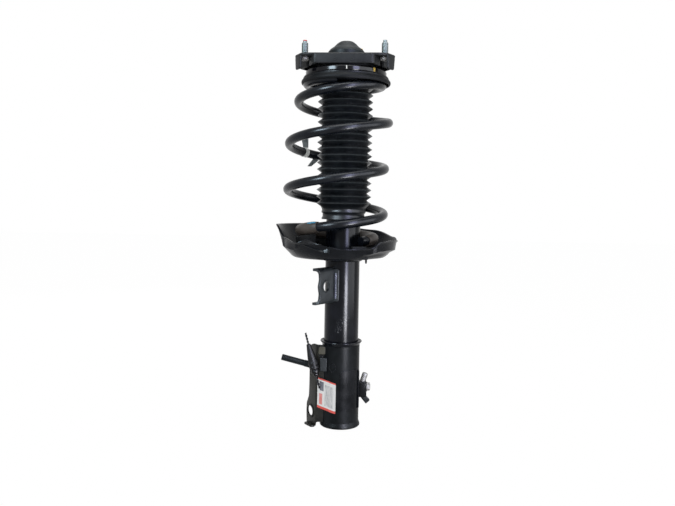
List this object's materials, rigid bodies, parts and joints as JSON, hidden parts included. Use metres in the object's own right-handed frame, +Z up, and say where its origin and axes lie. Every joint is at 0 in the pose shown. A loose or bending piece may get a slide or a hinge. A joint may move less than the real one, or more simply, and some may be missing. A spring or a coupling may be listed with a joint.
{
  "type": "strut assembly",
  "caption": "Upright damper with a coil spring between two seats, a ribbed dust boot, a bearing and a studded top mount, for a steered wheel.",
  "frame": {"origin": "middle of the lower sleeve's bottom edge, where the steering knuckle's clamp ends", "axes": "+Z up along the piston rod, -Y towards the side of the stabiliser link bracket"},
  "size_m": [0.1888, 0.1799, 0.596],
  "materials": {
    "black_paint": "gloss black paint with a bluish cast and fine dust",
    "spring_paint": "smooth gloss black powder coat",
    "bracket_paint": "satin olive-black paint",
    "mount_paint": "satin dark grey coating on a stamping",
    "cover_plastic": "moulded gloss black plastic",
    "race_plastic": "moulded cream plastic",
    "bearing_steel": "polished bearing steel",
    "zinc": "zinc plating with a greenish cast",
    "bare_steel": "oiled bare steel",
    "rod_chrome": "ground and chromed rod",
    "boot_rubber": "matte bluish black moulded rubber",
    "seat_rubber": "matte black rubber",
    "sleeve_rubber": "brown-grey rubber hose",
    "grommet_rubber": "satin black moulded rubber",
    "band_plastic": "bronze filled slide band",
    "bump_foam": "cellular polyurethane, cream",
    "label_paper": "paper label with red bands, no words",
    "tag_plastic": "plain plastic tie and blank tag"
  },
  "bodies": {
    "strut_tube": {"outer_tube": "black_paint", "base_cap": "black_paint", "lower_sleeve": "black_paint", "sleeve_weld": "black_paint", "pressure_tube": "bare_steel", "base_valve": "bare_steel", "rod_guide": "bare_steel", "rod_seal": "seat_rubber", "tube_cap": "bare_steel", "lower_spring_seat": "black_paint", "seat_weld": "black_paint", "lower_insulator": "seat_rubber", "spring_end_sleeve": "sleeve_rubber", "coil_spring": "spring_paint", "spring_tag": "tag_plastic", "tag_tie": "tag_plastic", "link_bracket": "black_paint", "link_bracket_weld": "black_paint", "locating_bracket": "bracket_paint", "key_plate": "black_paint", "clip_block": "black_paint", "hose_arm": "black_paint", "harness_grommet": "grommet_rubber", "harness_cable": "grommet_rubber", "hose_bracket": "black_paint", "hose_bracket_bolt": "zinc", "hose_bracket_stud": "zinc", "hose_bracket_plug": "grommet_rubber", "label": "label_paper"},
    "upper_seat": {"upper_spring_seat": "black_paint", "upper_insulator": "seat_rubber", "bearing_lower_race": "race_plastic", "dust_boot": "boot_rubber"},
    "ball_cage": {"bearing_cage": "race_plastic", "bearing_balls": "bearing_steel"},
    "top_mount": {"mount_plate": "mount_paint", "mount_rubber": "seat_rubber", "mount_core": "bare_steel", "mount_studs": "zinc", "bearing_upper_race": "cover_plastic", "piston_rod": "rod_chrome", "piston": "bare_steel", "piston_band": "band_plastic", "piston_nut": "bare_steel", "rebound_stop": "seat_rubber", "bump_stop": "bump_foam", "rod_washer": "zinc", "rod_nut": "zinc", "dust_cap": "boot_rubber"}
  },
  "joints": [
    {"name": "strut_stroke", "type": "slide", "parent": "strut_tube", "child": "upper_seat", "axis": [0, 0, 1], "range_m": [-0.146, 0], "stiffness_N_per_m": 30000, "springref_m": 0.002, "deforming": ["coil_spring", "dust_boot", "spring_tag", "tag_tie"]},
    {"name": "bearing_turn", "type": "hinge", "parent": "upper_seat", "child": "top_mount", "pos_m": [0, 0, 0.5423], "axis": [0, 0, 1], "continuous": true},
    {"name": "cage_turn", "type": "hinge", "parent": "upper_seat", "child": "ball_cage", "pos_m": [0, 0, 0.5423], "axis": [0, 0, 1], "continuous": true}
  ],
  "couplings": [
    {"joint": "cage_turn", "follows": "bearing_turn", "ratio": 0.5}
  ]
}
